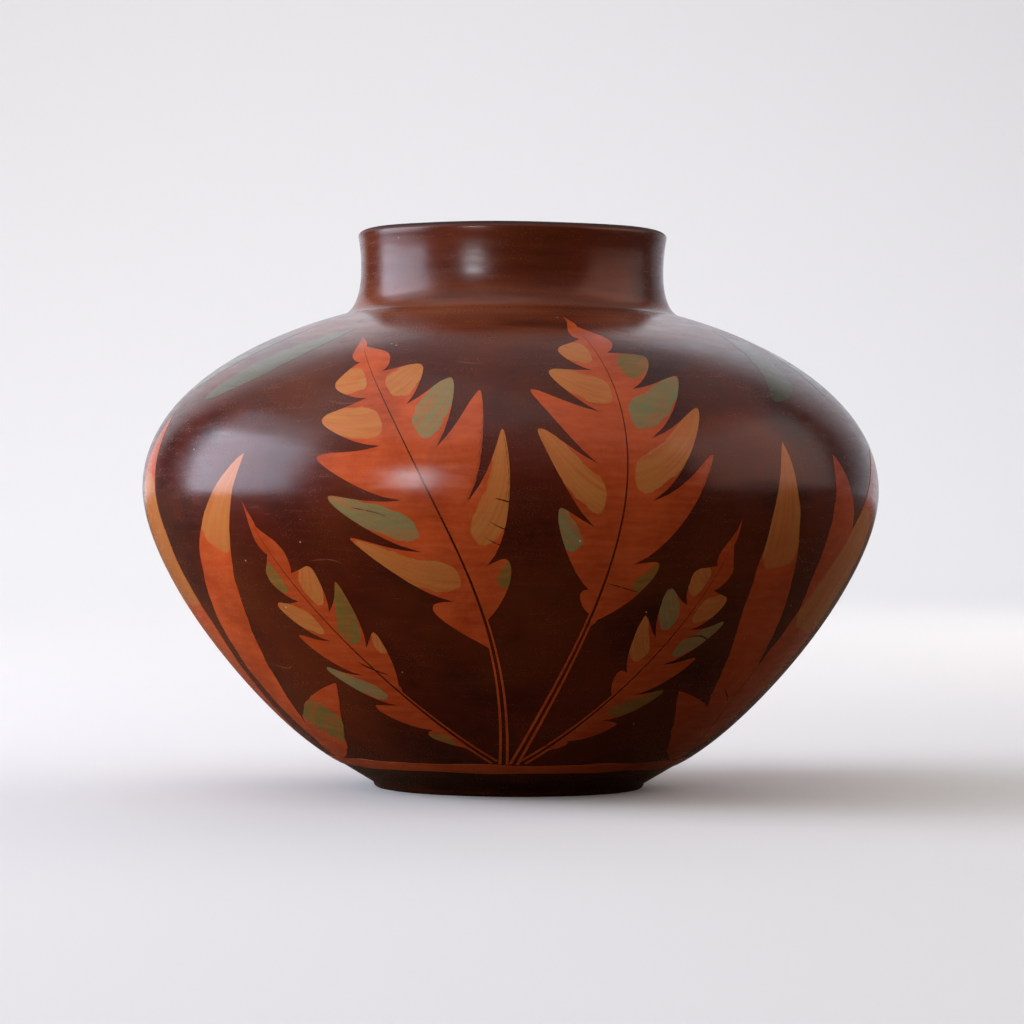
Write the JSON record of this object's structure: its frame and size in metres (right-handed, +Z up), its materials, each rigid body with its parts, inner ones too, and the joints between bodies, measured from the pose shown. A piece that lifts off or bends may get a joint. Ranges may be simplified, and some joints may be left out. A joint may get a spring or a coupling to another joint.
{
  "type": "pottery vase",
  "caption": "Hand-built pottery vase with a wide round belly, a short collared neck and a rounded lip, in dark burnished slip",
  "frame": {"origin": "the middle of the underside, on the surface that the vase stands on", "axes": "+Z up along the axis of the pot; the pot is round, and its main painted panel faces -Y"},
  "size_m": [0.2, 0.2, 0.151],
  "materials": {
    "dark_slip": "burnished maroon slip",
    "bare_clay": "unslipped fired clay",
    "red_slip": "burnished red slip",
    "ochre_slip": "burnished ochre slip",
    "green_slip": "burnished grey-green slip"
  },
  "bodies": {
    "root": {"base_slab": "dark_slip", "wall_coil_1": "dark_slip", "wall_coil_2": "dark_slip", "wall_coil_3": "dark_slip", "wall_coil_4": "dark_slip", "wall_coil_5": "dark_slip", "wall_coil_6": "dark_slip", "wall_coil_7": "dark_slip", "wall_coil_8": "dark_slip", "wall_coil_9": "dark_slip", "wall_coil_10": "dark_slip", "neck_collar": "dark_slip", "lip_coil": "dark_slip"}
  },
  "joints": []
}
